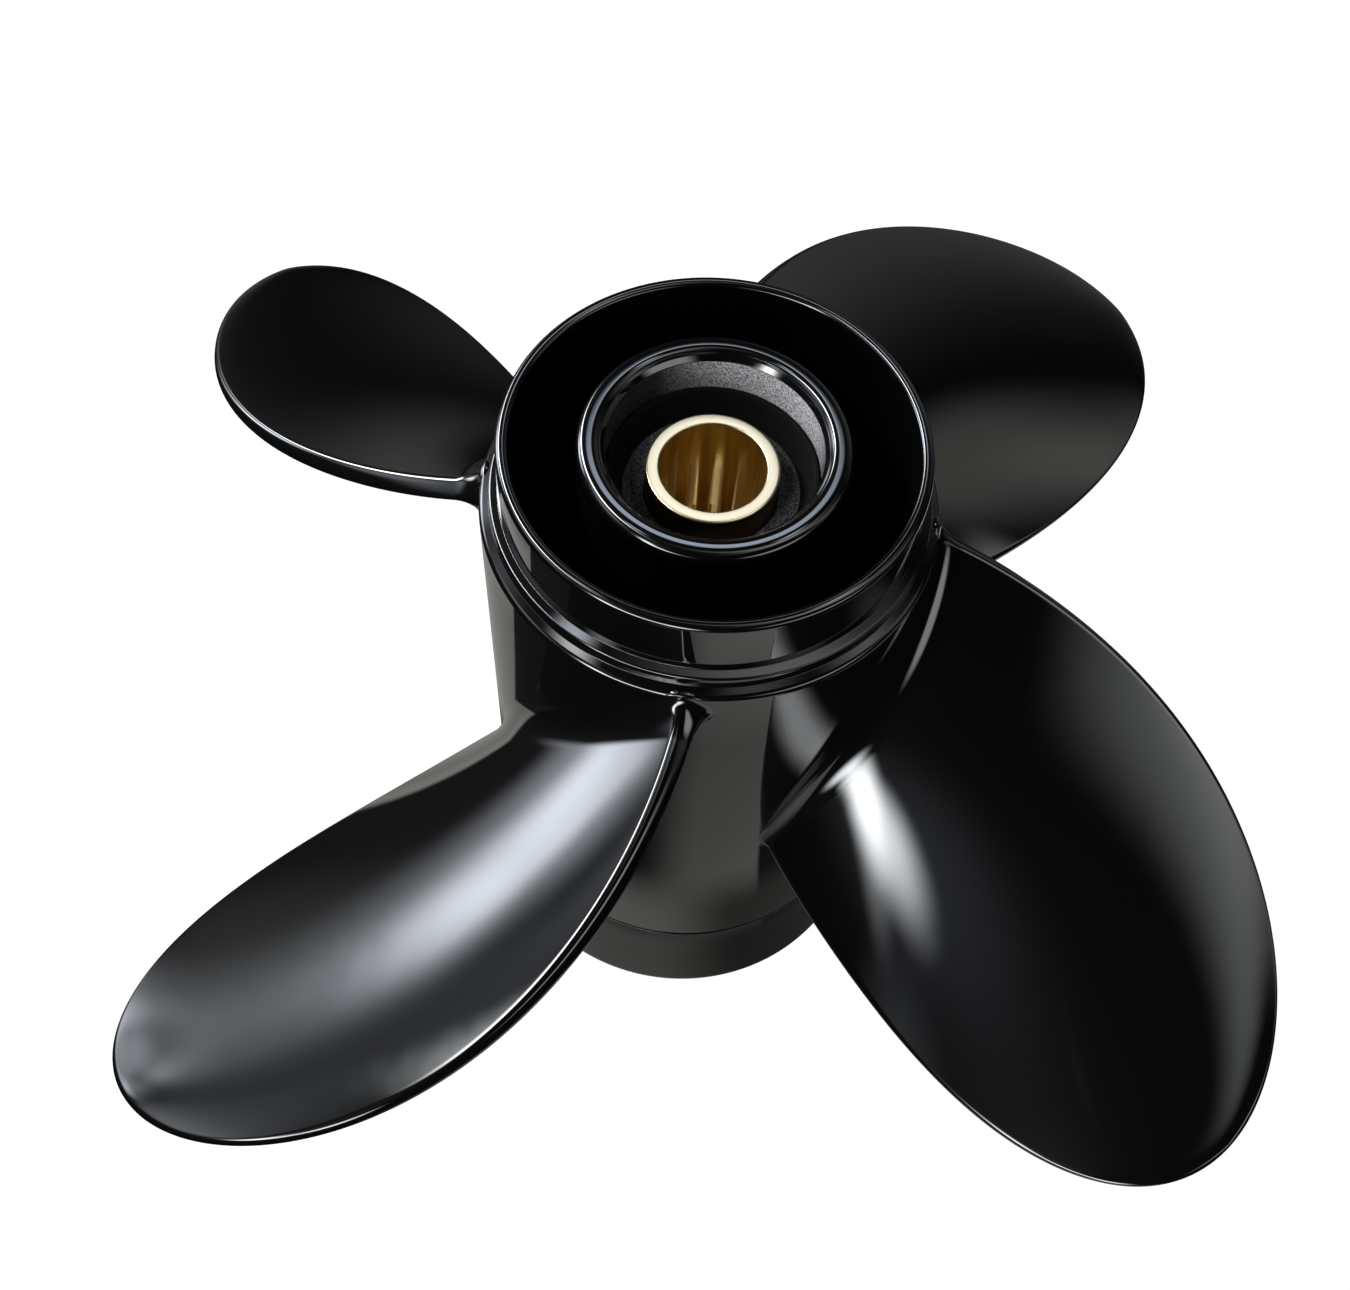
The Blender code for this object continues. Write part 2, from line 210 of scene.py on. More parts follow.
# A black flag stands before the brightest of them.
flag = (159, 21, 11, 8.4, 62, 0.77)
flag_share = 0.55

room = bpy.data.worlds.new("dark studio")
room.use_nodes = True
bpy.context.scene.world = room
wires = room.node_tree
for node in list(wires.nodes):
    wires.nodes.remove(node)


def panel_light(tree, direction, azimuth, elevation, half_width, half_height, tilt, softness):
    """One minus the elliptical distance of the direction from the panel's middle, eased at the edge.

    The direction is split along the panel's own three axes; its two sideways parts, turned by
    the tilt and divided by the sines of the half sizes, give the distance.
    """
    turn = math.radians(azimuth)
    lift = math.radians(elevation)
    out = (math.cos(lift) * math.cos(turn), math.cos(lift) * math.sin(turn), math.sin(lift))
    side = (-math.sin(turn), math.cos(turn), 0)
    top = (-math.sin(lift) * math.cos(turn), -math.sin(lift) * math.sin(turn), math.cos(lift))
    bank = math.radians(tilt)
    wide = math.sin(math.radians(half_width))
    high = math.sin(math.radians(half_height))
    across = [(s * math.cos(bank) + t * math.sin(bank)) / wide for s, t in zip(side, top)]
    along = [(t * math.cos(bank) - s * math.sin(bank)) / high for s, t in zip(side, top)]
    facing = wired(tree, "ShaderNodeVectorMath", operation="DOT_PRODUCT", in_0=direction, in_1=out)
    sideways = wired(tree, "ShaderNodeVectorMath", operation="DOT_PRODUCT", in_0=direction, in_1=across)
    upwards = wired(tree, "ShaderNodeVectorMath", operation="DOT_PRODUCT", in_0=direction, in_1=along)
    pair = wired(tree, "ShaderNodeCombineXYZ", in_0=sideways.outputs["Value"], in_1=upwards.outputs["Value"])
    away = wired(tree, "ShaderNodeVectorMath", operation="LENGTH", in_0=pair.outputs[0])
    edge = wired(
        tree, "ShaderNodeMapRange", interpolation_type="SMOOTHERSTEP",
        in_0=away.outputs["Value"], in_1=1 - softness, in_2=1.0, in_3=1.0, in_4=0.0,
    )
    front = wired(tree, "ShaderNodeMath", operation="GREATER_THAN", in_0=facing.outputs["Value"], in_1=0.0)
    return wired(
        tree, "ShaderNodeMath", operation="MULTIPLY", in_0=edge.outputs[0], in_1=front.outputs[0]
    ).outputs[0]


direction = wired(wires, "ShaderNodeTexCoord").outputs["Generated"]
glow = wired(wires, "ShaderNodeRGB").outputs[0]
glow.default_value = (0, 0, 0, 1)
for *place, strength, colour in panels:
    shape = panel_light(wires, direction, *place)
    tint = [c * strength for c in colour]
    tint = wired(wires, "ShaderNodeVectorMath", operation="SCALE", in_0=tint, in_3=shape).outputs[0]
    glow = wired(wires, "ShaderNodeVectorMath", operation="ADD", in_0=glow, in_1=tint).outputs[0]
shape = panel_light(wires, direction, *flag)
left = wired(wires, "ShaderNodeMath", operation="MULTIPLY_ADD", in_0=shape, in_1=-flag_share, in_2=1.0)
glow = wired(wires, "ShaderNodeVectorMath", operation="SCALE", in_0=glow, in_3=left.outputs[0]).outputs[0]
glow = wired(wires, "ShaderNodeVectorMath", operation="ADD", in_0=glow, in_1=room_dark).outputs[0]
seen = wired(wires, "ShaderNodeLightPath").outputs["Is Camera Ray"]
lit_room = wired(wires, "ShaderNodeBackground", in_0=glow).outputs[0]
pale_room = wired(wires, "ShaderNodeBackground", in_0=(*room_pale, 1)).outputs[0]
mixed = wired(wires, "ShaderNodeMixShader", in_0=seen, in_1=lit_room, in_2=pale_room).outputs[0]
wired(wires, "ShaderNodeOutputWorld", in_0=mixed)

# A small veil near the tip of the lower left blade dims what that tip mirrors. It clears to its
# edge, and only mirrored rays meet it.
veil_place = Vector((-0.1427, -0.0741, 0.0917))
veil_facing = Vector((-0.852, 0.491, 0.182))
veil_size = 0.022
veil_share = 0.74
veil_mesh = bpy.data.meshes.new("tip veil")
ring = [math.tau * step / 24 for step in range(24)]
veil_mesh.from_pydata([(math.cos(a), math.sin(a), 0) for a in ring], [], [list(range(24))])
veil = bpy.data.objects.new("tip_veil", veil_mesh)
bpy.context.scene.collection.objects.link(veil)
veil.location = veil_place
veil.rotation_euler = veil_facing.to_track_quat("Z", "Y").to_euler()
veil.scale = (veil_size, veil_size, 1)
gauze = bpy.data.materials.new("grey gauze")
gauze.use_nodes = True
wires = gauze.node_tree
place = wired(wires, "ShaderNodeTexCoord").outputs["Object"]
away = wired(wires, "ShaderNodeVectorMath", operation="LENGTH", in_0=place).outputs["Value"]
dimmed = wired(
    wires, "ShaderNodeMapRange", interpolation_type="SMOOTHERSTEP",
    in_0=away, in_1=0.35, in_2=1.0, in_3=1 - veil_share, in_4=1.0,
).outputs[0]
cloth = wired(wires, "ShaderNodeBsdfTransparent", in_0=dimmed).outputs[0]
wires.links.new(cloth, wires.nodes["Material Output"].inputs["Surface"])
veil_mesh.materials.append(gauze)
veil.visible_camera = False
veil.visible_diffuse = False
veil.visible_shadow = False

# A lamp above, to the left, lights the floor and the dull surfaces. Gloss paint doesn't mirror it.
lamp = bpy.data.lights.new("overhead lamp", "AREA")
lamp.shape = "DISK"
lamp.size = 0.3
lamp.energy = 9
overhead = bpy.data.objects.new("overhead_lamp", lamp)
bpy.context.scene.collection.objects.link(overhead)
overhead.location = (-0.45, -0.45, 1.0)
overhead.rotation_euler = (math.radians(24), math.radians(-24), 0)
overhead.visible_glossy = False
overhead.visible_camera = False


# Outer hub
# One aluminium casting, in gloss black enamel: a spigot with a round lip, a bead that the
# gearcase's rim stops at, a neck, and the tube that carries the blades.
front_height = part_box("front_collar")[1].z
collar_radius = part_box("front_collar")[1].x
collar_height = 0.0136
barrel_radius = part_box("hub_barrel")[1].x
barrel_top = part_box("hub_barrel")[1].z
seam_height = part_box("aft_ring")[1].z
bead_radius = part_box("shoulder_ring")[1].x
seam_radius = 0.0430
collar_bore = 0.0376
barrel_bore = 0.0382
inner_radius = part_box("inner_hub")[1].x
bore_radius = 0.0202


def rounded(corners, steps=10):
    """A closed outline in (radius, height), each corner given with the bend that rounds it.

    A bend is a circle that touches both sides of its corner: it starts and ends at the bend
    times the tangent of half the turn from the corner, and its points follow the angle evenly.
    """
    points = np.array([corner[:2] for corner in corners], float)
    bends = np.array([corner[2] for corner in corners], float)
    before = np.roll(points, 1, 0) - points
    after = np.roll(points, -1, 0) - points
    before /= np.linalg.norm(before, axis=1)[:, None]
    after /= np.linalg.norm(after, axis=1)[:, None]
    outline = []
    for corner, bend, back, on in zip(points, bends, before, after):
        half = 0.5 * math.acos(np.clip(np.dot(back, on), -1, 1))
        if bend == 0 or half > 0.5 * math.pi - 0.01:
            outline.append(corner[None])
            continue
        centre = corner + (back + on) / np.linalg.norm(back + on) * bend / math.sin(half)
        start = corner + back * bend / math.tan(half) - centre
        end = corner + on * bend / math.tan(half) - centre
        sweep = math.pi - 2 * half
        share = np.linspace(0, 1, steps + 1)[:, None]
        arc = (start * np.sin((1 - share) * sweep) + end * np.sin(share * sweep)) / math.sin(sweep)
        outline.append(centre + arc)
    return np.concatenate(outline)


def skin(name, grid, pole=None):
    """A mesh from a grid of points (rows, columns, 3) whose columns close round.

    Without a pole the rows close too. With one, the last row closes on it, and the first is
    capped by faces across from column i to column n - i.
    """
    rows, columns = grid.shape[:2]
    row = np.arange(rows if pole is None else rows - 1)[:, None]
    column = np.arange(columns)[None, :]
    beside = (column + 1) % columns
    below = (row + 1) % rows
    corners = [(row, column), (row, beside), (below, beside), (below, column)]
    faces = np.stack([r * columns + c for r, c in corners], -1).reshape(-1, 4).tolist()
    points = grid.reshape(-1, 3)
    if pole is not None:
        points = np.concatenate([points, pole[None]])
        near = np.arange(columns)
        last = (rows - 1) * columns
        fan = [last + near, last + (near + 1) % columns, 0 * near + rows * columns]
        half = np.arange(1, columns // 2 - 1)
        cap = [half + 1, half, columns - half, columns - half - 1]
        faces += np.stack(fan, -1).tolist() + np.stack(cap, -1).tolist()
        faces += [(1, 0, columns - 1), (columns // 2, columns // 2 - 1, columns // 2 + 1)]
    mesh = bpy.data.meshes.new(name)
    mesh.from_pydata(points.tolist(), [], faces)
    mesh.shade_smooth()
    thing = bpy.data.objects.new(name, mesh)
    bpy.context.scene.collection.objects.link(thing)
    return thing


def turned(name, outline, columns, relief=0.0):
    """The outline carried round the shaft's axis: x = radius cos(turn), y = radius sin(turn).

    The outline runs down the outer side and up the inner side, so the faces point outwards.
    The relief, one value for each row and column, is added to the radius.
    """
    turn = np.arange(columns) * math.tau / columns
    radius = outline[:, :1] + relief
    grid = np.stack([radius * np.cos(turn), radius * np.sin(turn), outline[:, 1:] + 0 * turn], -1)
    return skin(name, grid[:, ::-1])


def enamel():
    """Black enamel under a clear gloss coat, with faint orange peel.

    The distance from the axis and the height say where the gloss gives way: to exhaust soot on
    the walls of the passage, to grime in the seam, and to bare casting in the inner hub's bore.
    """
    paint = bpy.data.materials.new("gloss black enamel")
    paint.use_nodes = True
    tree = paint.node_tree
    shader = tree.nodes["Principled BSDF"]
    place = wired(tree, "ShaderNodeTexCoord").outputs["Object"]
    flat = wired(tree, "ShaderNodeVectorMath", operation="MULTIPLY", in_0=place, in_1=(1, 1, 0)).outputs[0]
    out_from_axis = wired(tree, "ShaderNodeVectorMath", operation="LENGTH", in_0=flat).outputs["Value"]
    up = wired(tree, "ShaderNodeSeparateXYZ", in_0=place).outputs["Z"]
    deep = between(tree, up, -1.0, front_height - 0.0062, 0.0026)
    passage = between(tree, out_from_axis, inner_radius - 0.0012, barrel_bore + 0.0004, 0.0002)
    soot = wired(tree, "ShaderNodeMath", operation="MULTIPLY", in_0=deep, in_1=passage).outputs[0]
    below = between(tree, up, -1.0, front_height - 0.0022, 0.0002)
    inside = between(tree, out_from_axis, -1.0, bore_radius + 0.0001, 0.0002)
    bare = wired(tree, "ShaderNodeMath", operation="MULTIPLY", in_0=below, in_1=inside).outputs[0]
    dull = wired(tree, "ShaderNodeMath", operation="MAXIMUM", in_0=soot, in_1=bare).outputs[0]
    seam = between(tree, up, seam_height - 0.00032, seam_height + 0.00042, 0.0001)
    groove = between(tree, out_from_axis, -1.0, seam_radius - 0.0001, 0.0001)
    grime = wired(tree, "ShaderNodeMath", operation="MULTIPLY", in_0=seam, in_1=groove).outputs[0]
    dull = wired(tree, "ShaderNodeMath", operation="MAXIMUM", in_0=dull, in_1=grime).outputs[0]

    peel = wired(tree, "ShaderNodeTexNoise", in_0=place)
    peel.inputs["Scale"].default_value = 120
    peel.inputs["Detail"].default_value = 1
    grain = wired(tree, "ShaderNodeTexNoise", in_0=place)
    grain.inputs["Scale"].default_value = 3200
    grain.inputs["Detail"].default_value = 2
    soft = wired(tree, "ShaderNodeBump")
    soft.inputs["Strength"].default_value = 0.02
    soft.inputs["Distance"].default_value = 0.0005
    tree.links.new(peel.outputs["Fac"], soft.inputs["Height"])
    cast = wired(tree, "ShaderNodeBump")
    cast.inputs["Distance"].default_value = 0.00015
    tree.links.new(bare, cast.inputs["Strength"])
    tree.links.new(grain.outputs["Fac"], cast.inputs["Height"])
    tree.links.new(soft.outputs["Normal"], cast.inputs["Normal"])
    tree.links.new(cast.outputs["Normal"], shader.inputs["Normal"])
    tree.links.new(soft.outputs["Normal"], shader.inputs["Coat Normal"])
    tone = wired(tree, "ShaderNodeValToRGB", in_0=grain.outputs["Fac"])
    tone.color_ramp.elements[0].position = 0.40
    tone.color_ramp.elements[0].color = (0.080, 0.080, 0.082, 1)
    tone.color_ramp.elements[1].position = 0.62
    tone.color_ramp.elements[1].color = (0.330, 0.330, 0.340, 1)
    black = wired(tree, "ShaderNodeValToRGB", in_0=grain.outputs["Fac"])
    black.color_ramp.elements[0].color = (0.0002, 0.0002, 0.0002, 1)
    black.color_ramp.elements[1].color = (0.0007, 0.0007, 0.0008, 1)
    # Painted light: the bare casting is painted lighter on one side, where light falls into the bore, and
    # darker round the rest.
    aside = wired(tree, "ShaderNodeVectorMath", operation="DOT_PRODUCT", in_0=place, in_1=(0.50, 0.87, 0))
    painted_lit_side = wired(
        tree, "ShaderNodeMapRange", interpolation_type="SMOOTHSTEP",
        in_0=aside.outputs["Value"], in_1=0.007, in_2=bore_radius, in_3=0.08, in_4=1.0,
    ).outputs[0]
    tone = wired(tree, "ShaderNodeVectorMath", operation="SCALE", in_0=tone.outputs[0], in_3=painted_lit_side)
    colour = wired(tree, "ShaderNodeMix", data_type="RGBA")
    tree.links.new(bare, colour.inputs["Factor"])
    tree.links.new(black.outputs[0], colour.inputs[6])
    tree.links.new(tone.outputs[0], colour.inputs[7])
    tree.links.new(colour.outputs[2], shader.inputs["Base Color"])
    gloss = wired(tree, "ShaderNodeMath", operation="SUBTRACT", in_0=1.0, in_1=dull).outputs[0]
    tree.links.new(gloss, shader.inputs["Coat Weight"])
    shader.inputs["Roughness"].default_value = 0.60
    shader.inputs["Specular IOR Level"].default_value = 0.02
    shader.inputs["Coat Roughness"].default_value = 0.03
    shader.inputs["Coat IOR"].default_value = 1.5
    return paint


black_enamel = enamel()

outer_hub = turned(
    "outer_hub",
    rounded(
        [
            (collar_bore, front_height, 0.00100),
            (collar_radius, front_height, 0.00139),
            (collar_radius, front_height - collar_height, 0.0002),
            (bead_radius, front_height - collar_height - 0.0006, 0.0006),
            (bead_radius, barrel_top + 0.0011, 0.0002),
            (barrel_radius, barrel_top, 0.0016),
            (seam_radius, seam_height + 0.0004, 0.0002),
            (barrel_bore, seam_height + 0.0004, 0.0002),
            (barrel_bore, front_height - 0.0220, 0.0030),
            (collar_bore, front_height - 0.0180, 0.0030),
        ]
    ),
    288,
)
outer_hub.data.materials.append(black_enamel)
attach(outer_hub, "root")
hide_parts("front_collar", "shoulder_ring", "hub_barrel")


# Aft ring
# A cast ring that flares a little to its open end, pressed against the tube at a thin seam, in
# the same enamel.
ring_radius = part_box("aft_ring")[1].x
ring = turned(
    "aft_ring_skin",
    rounded(
        [
            (seam_radius, seam_height - 0.0003, 0.0002),
            (seam_radius + 0.0006, seam_height - 0.0080, 0.0300),
            (ring_radius, 0.0022, 0.0060),
            (ring_radius, 0, 0.0016),
            (ring_radius - 0.0042, 0, 0.0012),
            (barrel_bore, seam_height - 0.0003, 0.0002),
        ]
    ),
    288,
)
ring.data.materials.append(black_enamel)
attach(ring, "root")
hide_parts("aft_ring")


# Inner hub
# The tube in the middle of the exhaust passage, cast with the ribs. Its front is a thick rolled
# lip; inside, a small chamfer leads to a bore left rough from the mould.
inner_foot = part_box("inner_hub")[0].z
mouth_radius = 0.0213
inner_hub = turned(
    "inner_hub_skin",
    rounded(
        [
            (mouth_radius + 0.0003, front_height, 0.0018),
            (inner_radius, front_height, 0.00215),
            (inner_radius - 0.0002, front_height - 0.0050, 0.0008),
            (inner_radius - 0.0006, inner_foot, 0.0008),
            (bore_radius, inner_foot, 0.0005),
            (bore_radius, front_height - 0.0020, 0.0003),
            (mouth_radius - 0.0004, front_height - 0.0009, 0.0003),
            (mouth_radius, front_height - 0.0006, 0.0002),
        ],
        16,
    ),
    240,
)
inner_hub.data.materials.append(black_enamel)
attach(inner_hub, "root")
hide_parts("inner_hub")


# Ribs
# Four cast webs deep in the exhaust passage, which carry the inner hub.
for name in ("rib_1", "rib_2", "rib_3", "rib_4"):
    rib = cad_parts[name]
    rib.data.materials.clear()
    rib.data.materials.append(black_enamel)


# Blades
# Four equal cast blades, a quarter turn apart, that follow a right-hand helix. Each has a thick
# root with a wide fillet, a crowned back, round edges and a broad round tip.
blade_count = 4
tip_radius = 0.1463
root_radius = barrel_radius + 0.0003
span = tip_radius - root_radius
root_mid_angle = math.radians(-32.6)
skew_angle = math.radians(-10.1)
skew_power = 1.4
root_mid_height = 0.1040
rake_drop = 0.0218
rake_power = 0.88
widest_chord = 0.0900
chord_bend = 0.0380
chord_peak = 0.50
tip_squareness = 4.1
pitches = (0.360, 0.382, 0.350)
camber = 0.034
root_thickness, tip_thickness = 0.0084, 0.0030
thin_chord = 0.0540
root_edge, tip_edge = 0.0046, 0.0022
high_edge_round = 0.0015
low_edge_round = (0.0040, 0.0015)
edge_power = 3.2
# The root's fillet: how far it climbs the blade and how far it spreads on the barrel, at the
# high edge, the middle and the low edge.
fillet_rise = (0.0055, 0.0056, 0.0016)
fillet_spread = (0.0032, 0.0050, 0.0016)


def chord_at(part):
    """Width times the root of 1 - part to a high power, which rounds the tip."""
    width = widest_chord - chord_bend * (part - chord_peak) ** 2
    return width * np.sqrt(np.maximum(1 - np.maximum(part, 0) ** tip_squareness, 0))


def laid_flat(part, turn):
    """The blade's section laid flat at this part of the span: x to the low edge, y to the front.

    x = -chord/2 cos(turn), with turn running from 0 along the back to pi and on along the
    pressure face to 2 pi. y = camber line plus or minus half the thickness, both parabolas of x,
    and the thickness closes along a superellipse near the rim.
    """
    chord = chord_at(part)
    step = 1e-5
    lean = 0.5 * (chord_at(part - step) - chord_at(part)) / (step * span)
    x = -0.5 * chord * np.cos(turn)
    bulge = np.sin(turn) ** 2
    inset = (0.5 * chord - np.abs(x)) / np.hypot(1, lean)
    low_round = low_edge_round[0] + (low_edge_round[1] - low_edge_round[0]) * np.clip(2 * part, 0, 1)
    depth = np.where(x < 0, high_edge_round, low_round)
    depth = high_edge_round + (depth - high_edge_round) * np.clip(2 * x / np.maximum(chord, 1e-6), 0, 1)
    closed = (1 - np.clip(inset / depth, 0, 1)) ** edge_power
    rim = np.maximum(1 - closed, 0) ** (1 / edge_power)
    edge = root_edge + (tip_edge - root_edge) * part
    crown = root_thickness + (tip_thickness - root_thickness) * part - edge
    crown = crown * chord / (chord**4 + thin_chord**4) ** 0.25
    half = 0.5 * rim * (edge + crown * bulge)
    side = np.where(turn < math.pi, 1.0, -1.0)
    y = camber * chord * bulge + side * half
    return x, y, bulge


def blade_grid(rows, columns, tip_rows):
    """Points of one blade from under the barrel's skin to just short of the tip.

    Across the root the outline is swollen by a fillet whose bend is wide in the middle of the
    chord and narrow at its ends. Along the fillet the height is bend (1 - cos a) and the swell
    bend (1 - sin a). Beyond it the part of the span is 1 - w squared, which crowds rows to the tip.
    """
    turn = math.tau * np.arange(columns) / columns
    toward = np.cos(turn)
    weights = np.stack([np.maximum(toward, 0) ** 2, 1 - toward**2, np.maximum(-toward, 0) ** 2])
    climb = np.array(fillet_rise) @ weights
    spread = np.array(fillet_spread) @ weights
    bow = np.linspace(0, 0.5 * math.pi, rows)[:, None]
    rise = climb * (1 - np.cos(bow))
    swell = spread * (1 - np.sin(bow))
    sunk = np.array([[-0.0016], [-0.0008], [-0.00004]]) + 0 * climb
    under = np.array([[0.0006], [0.0006], [0.0005]]) + spread
    rise = np.concatenate([sunk, rise])
    swell = np.concatenate([under, swell])
    start = np.sqrt(1 - climb / span)
    w = np.linspace(1, 0, tip_rows + 1)[1:-1, None] * start
    rise = np.concatenate([rise, span * (1 - w**2)])
    swell = np.concatenate([swell, 0 * w])
    part = np.clip(rise / span, 0, 1)
    x, y, _ = laid_flat(part, turn + 0 * part)
    dx = np.roll(x, -1, 1) - np.roll(x, 1, 1)
    dy = np.roll(y, -1, 1) - np.roll(y, 1, 1)
    size = np.maximum(np.hypot(dx, dy), 1e-12)
    x = x - swell * dy / size
    y = y + swell * dx / size
    return on_helix(x, y, part, rise)


def on_helix(x, y, part, rise):
    """Flat points wrapped on cylinders round the shaft: turn = middle - (x cos + y sin) / radius."""
    first, middle, last = pitches
    pitch = first * (1 - part) * (1 - 2 * part) + last * part * (2 * part - 1)
    pitch = pitch + 4 * middle * part * (1 - part)
    radius = root_radius + part * span
    slope = np.arctan2(pitch, math.tau * radius)
    angle = root_mid_angle + skew_angle * part**skew_power
    angle = angle - (x * np.cos(slope) + y * np.sin(slope)) / radius
    height = root_mid_height - rake_drop * part**rake_power - x * np.sin(slope) + y * np.cos(slope)
    down = (barrel_top - height) / (barrel_top - seam_height)
    taper = barrel_radius + (seam_radius - barrel_radius) * down
    near = np.clip(1 - rise / max(fillet_rise), 0, 1)
    radius = radius * (1 - near) + (taper + rise) * near
    return np.stack([radius * np.cos(angle), radius * np.sin(angle), height], -1)


one_blade = blade_grid(24, 300, 110)
tip_point = on_helix(*[np.array([v]) for v in (0.0, 0.0, 1.0, span)])[0]
for index in range(blade_count):
    swing = math.tau * index / blade_count
    about = np.array(Matrix.Rotation(swing, 3, "Z"))
    grid = one_blade @ about.T
    name = f"blade_{index + 1}"
    blade = skin(name + "_skin", grid, about @ tip_point)
    blade.data.materials.append(black_enamel)
    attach(blade, "root")
    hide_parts(name)


# Rubber bush
# Black rubber bonded between the inner hub and the sleeve, dished round the sleeve at the front.
bush_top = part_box("rubber_bush")[1].z
bush_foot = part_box("rubber_bush")[0].z
sleeve_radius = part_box("brass_sleeve")[1].x
bush = turned(
    "rubber_bush_skin",
    rounded(
        [
            (bore_radius - 0.0002, bush_top, 0.0004),
            (bore_radius - 0.0002, bush_foot, 0.0010),
            (sleeve_radius + 0.0001, bush_foot, 0.0006),
            (sleeve_radius + 0.0001, front_height - 0.0150, 0.0004),
            (0.0168, front_height - 0.0150, 0.0010),
            (bore_radius - 0.0012, bush_top, 0.0004),
        ]
    ),
    192,
)
rubber = bpy.data.materials.new("matt black rubber")
rubber.use_nodes = True
tree = rubber.node_tree
shader = tree.nodes["Principled BSDF"]
place = wired(tree, "ShaderNodeTexCoord").outputs["Object"]
flat = wired(tree, "ShaderNodeVectorMath", operation="MULTIPLY", in_0=place, in_1=(1, 1, 0)).outputs[0]
out_from_axis = wired(tree, "ShaderNodeVectorMath", operation="LENGTH", in_0=flat).outputs["Value"]
floor_of_dish = between(tree, out_from_axis, sleeve_radius, 0.0166, 0.0003)
grain = wired(tree, "ShaderNodeTexNoise", in_0=place)
grain.inputs["Scale"].default_value = 3200
grain.inputs["Detail"].default_value = 2
speckle = wired(tree, "ShaderNodeValToRGB", in_0=grain.outputs["Fac"])
speckle.color_ramp.elements[0].position = 0.40
speckle.color_ramp.elements[0].color = (0.008, 0.008, 0.008, 1)
speckle.color_ramp.elements[1].position = 0.62
speckle.color_ramp.elements[1].color = (0.060, 0.060, 0.062, 1)
colour = wired(tree, "ShaderNodeMix", data_type="RGBA")
colour.inputs[6].default_value = (0.0022, 0.0022, 0.0023, 1)
tree.links.new(floor_of_dish, colour.inputs["Factor"])
tree.links.new(speckle.outputs[0], colour.inputs[7])
tree.links.new(colour.outputs[2], shader.inputs["Base Color"])
pits = wired(tree, "ShaderNodeBump")
pits.inputs["Strength"].default_value = 0.6
pits.inputs["Distance"].default_value = 0.0002
tree.links.new(grain.outputs["Fac"], pits.inputs["Height"])
tree.links.new(pits.outputs["Normal"], shader.inputs["Normal"])
shader.inputs["Roughness"].default_value = 0.75
shader.inputs["Specular IOR Level"].default_value = 0.06
bush.data.materials.append(rubber)
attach(bush, "root")
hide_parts("rubber_bush")


# Brass sleeve
# The drawn brass sleeve that slides on the shaft, faced bright at its end, with splines deeper in.
sleeve_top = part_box("brass_sleeve")[1].z
sleeve_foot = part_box("brass_sleeve")[0].z
sleeve_bore = 0.0101
spline_count, spline_depth, spline_share = 13, 0.0012, 0.37
spline_foot, spline_top = front_height - 0.0840, front_height - 0.0340
sleeve_outline = rounded(
    [
        (sleeve_radius, sleeve_top, 0.0005),
        (sleeve_radius, sleeve_foot, 0.0004),
        (sleeve_bore, sleeve_foot, 0.0004),
        (sleeve_bore, spline_foot, 0),
        (sleeve_bore, spline_foot + 0.0004, 0),
        (sleeve_bore, spline_top - 0.0004, 0),
        (sleeve_bore, spline_top, 0),
        (sleeve_bore, sleeve_top, 0.0003),
    ]
)
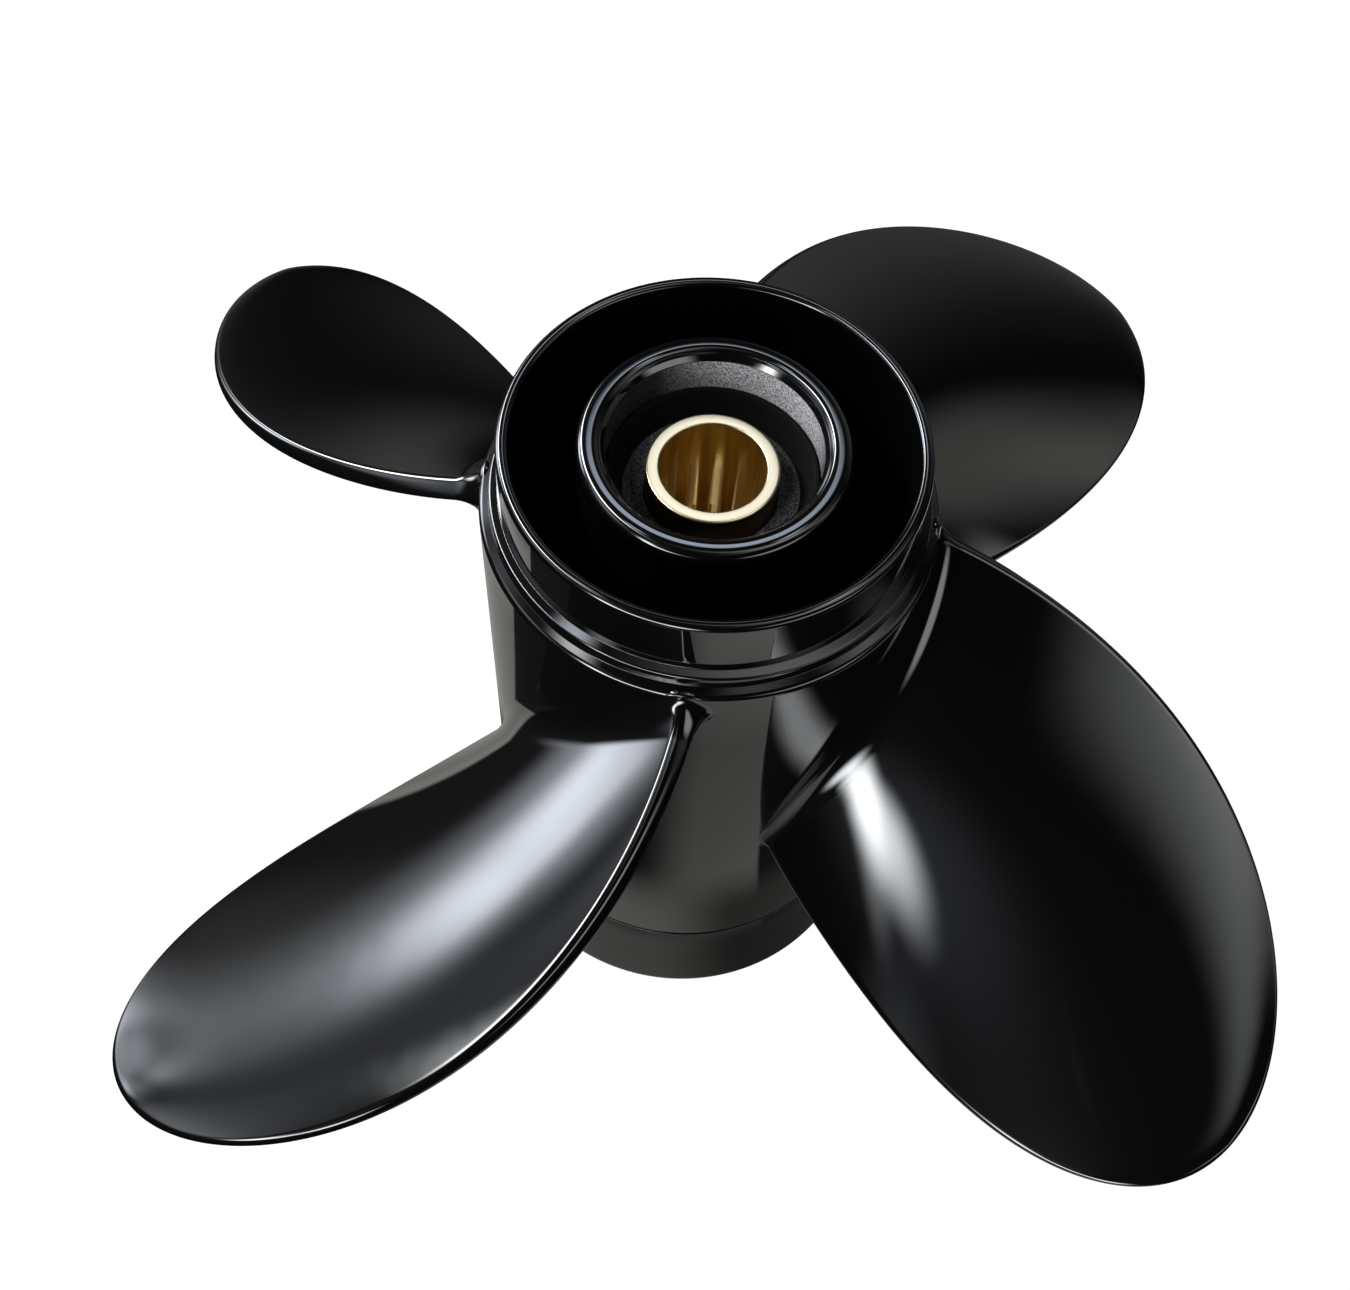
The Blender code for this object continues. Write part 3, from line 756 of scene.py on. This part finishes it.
# Rolled grooves: the cosine of the tooth's turn, cut off at the share of the groove in the pitch.
tooth_turn = spline_count * np.arange(208) * math.tau / 208
groove = np.clip(0.5 + 4 * (np.cos(tooth_turn) - math.cos(math.pi * spline_share)), 0, 1)
in_bore = sleeve_outline[:, :1] < sleeve_bore + 0.00001
in_run = (sleeve_outline[:, 1:] > spline_foot + 0.0002) & (sleeve_outline[:, 1:] < spline_top - 0.0002)
sleeve = turned("brass_sleeve_skin", sleeve_outline, 208, spline_depth * groove * in_bore * in_run)
brass = bpy.data.materials.new("machined brass")
brass.use_nodes = True
tree = brass.node_tree
shader = tree.nodes["Principled BSDF"]
place = wired(tree, "ShaderNodeTexCoord").outputs["Object"]
up = wired(tree, "ShaderNodeSeparateXYZ", in_0=place).outputs["Z"]
end_face = between(tree, up, sleeve_top - 0.00025, 1.0, 0.0002)
flat = wired(tree, "ShaderNodeVectorMath", operation="MULTIPLY", in_0=place, in_1=(1, 1, 0)).outputs[0]
out_from_axis = wired(tree, "ShaderNodeVectorMath", operation="LENGTH", in_0=flat).outputs["Value"]
outer_side = between(tree, out_from_axis, sleeve_radius - 0.0004, 1.0, 0.0002)
# Reaming leaves streaks down the bore: noise that hardly changes with height.
streaky = wired(tree, "ShaderNodeVectorMath", operation="MULTIPLY", in_0=place, in_1=(1, 1, 0.02)).outputs[0]
streaks = wired(tree, "ShaderNodeTexNoise", in_0=streaky)
streaks.inputs["Scale"].default_value = 300
streaks.inputs["Detail"].default_value = 2
bore_tone = wired(tree, "ShaderNodeValToRGB", in_0=streaks.outputs["Fac"])
bore_tone.color_ramp.elements[0].position = 0.35
bore_tone.color_ramp.elements[0].color = (0.60, 0.40, 0.11, 1)
bore_tone.color_ramp.elements[1].position = 0.70
bore_tone.color_ramp.elements[1].color = (0.95, 0.68, 0.23, 1)
# Painted shade: the sleeve's outer side, down in the rubber's dish, is coloured dark brown as if it were in
# shadow.
bore_and_shaded_side = wired(tree, "ShaderNodeMix", data_type="RGBA")
bore_and_shaded_side.inputs[7].default_value = (0.10, 0.06, 0.025, 1)
tree.links.new(outer_side, bore_and_shaded_side.inputs["Factor"])
tree.links.new(bore_tone.outputs[0], bore_and_shaded_side.inputs[6])
colour = wired(tree, "ShaderNodeMix", data_type="RGBA")
colour.inputs[7].default_value = (0.52, 0.43, 0.28, 1)
tree.links.new(end_face, colour.inputs["Factor"])
tree.links.new(bore_and_shaded_side.outputs[2], colour.inputs[6])
tree.links.new(colour.outputs[2], shader.inputs["Base Color"])
shader.inputs["Metallic"].default_value = 1.0
shader.inputs["Roughness"].default_value = 0.28
sleeve.data.materials.append(brass)
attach(sleeve, "root")
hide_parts("brass_sleeve")
